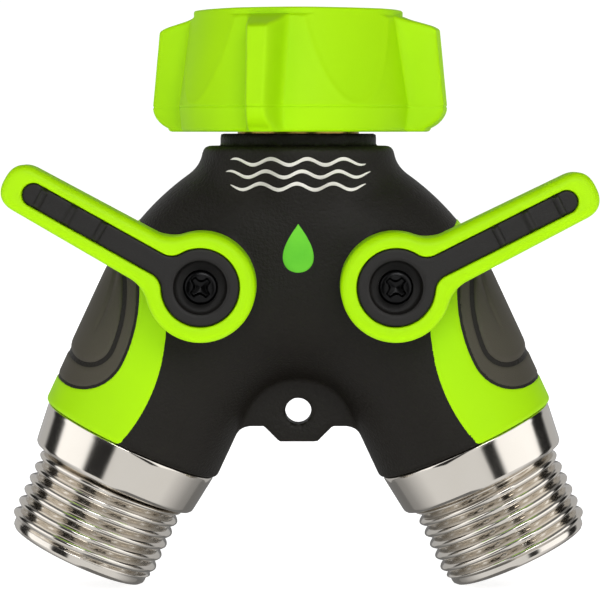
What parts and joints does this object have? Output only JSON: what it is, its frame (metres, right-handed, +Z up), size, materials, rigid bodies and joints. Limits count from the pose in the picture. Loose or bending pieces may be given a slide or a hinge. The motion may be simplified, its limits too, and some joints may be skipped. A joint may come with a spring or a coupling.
{
  "type": "garden hose splitter",
  "caption": "Y-shaped garden hose splitter: a swivel nut fits a tap, and each leg has a quarter-turn lever valve above a threaded hose outlet.",
  "frame": {"origin": "middle of the inlet thread, on its axis, 5.6 mm under the swivel nut's top rim", "axes": "+Z up the inlet axis towards the tap, -Y the front, where the levers are, +X towards the right-hand leg"},
  "size_m": [0.1014, 0.0541, 0.1005],
  "materials": {
    "powder_coat_black": "black powder coat with a fine grain over a die-cast zinc body",
    "lime_grip": "satin lime-green overmoulded elastomer",
    "lime_plastic": "satin lime-green moulded plastic",
    "black_grip": "fine-grained black elastomer",
    "nickel_plate": "bright nickel plate on brass",
    "brass": "machined brass",
    "chromed_ball": "polished hard chrome on brass",
    "seal_rubber": "smooth black nitrile rubber",
    "ptfe_white": "smooth white PTFE",
    "black_screw": "black oxide steel"
  },
  "bodies": {
    "body": {"valve_body": "powder_coat_black", "inlet_tailpiece": "brass", "tailpiece_oring": "seal_rubber", "inlet_washer": "seal_rubber", "left_grip_band": "lime_grip", "left_grip_pad": "black_grip", "left_outlet": "nickel_plate", "left_outlet_oring": "seal_rubber", "left_upper_seat": "ptfe_white", "left_lower_seat": "ptfe_white", "left_stem_thrust_washer": "ptfe_white", "right_grip_band": "lime_grip", "right_grip_pad": "black_grip", "right_outlet": "nickel_plate", "right_outlet_oring": "seal_rubber", "right_upper_seat": "ptfe_white", "right_lower_seat": "ptfe_white", "right_stem_thrust_washer": "ptfe_white"},
    "swivel_nut": {"swivel_nut_grip": "lime_grip", "swivel_nut_ring": "nickel_plate"},
    "left_valve": {"left_lever": "lime_plastic", "left_lever_inlay": "black_grip", "left_lever_screw": "black_screw", "left_stem": "brass", "left_stem_orings": "seal_rubber", "left_ball": "chromed_ball"},
    "right_valve": {"right_lever": "lime_plastic", "right_lever_inlay": "black_grip", "right_lever_screw": "black_screw", "right_stem": "brass", "right_stem_orings": "seal_rubber", "right_ball": "chromed_ball"}
  },
  "joints": [
    {"name": "swivel", "type": "hinge", "parent": "body", "child": "swivel_nut", "pos_m": [0, 0, 0], "axis": [0, 0, 1], "continuous": true},
    {"name": "left_lever_turn", "type": "hinge", "parent": "body", "child": "left_valve", "pos_m": [-0.01623, 0, -0.0412], "axis": [0, -1, 0], "range_deg": [0, 90]},
    {"name": "right_lever_turn", "type": "hinge", "parent": "body", "child": "right_valve", "pos_m": [0.01623, 0, -0.0412], "axis": [0, 1, 0], "range_deg": [0, 90]}
  ]
}
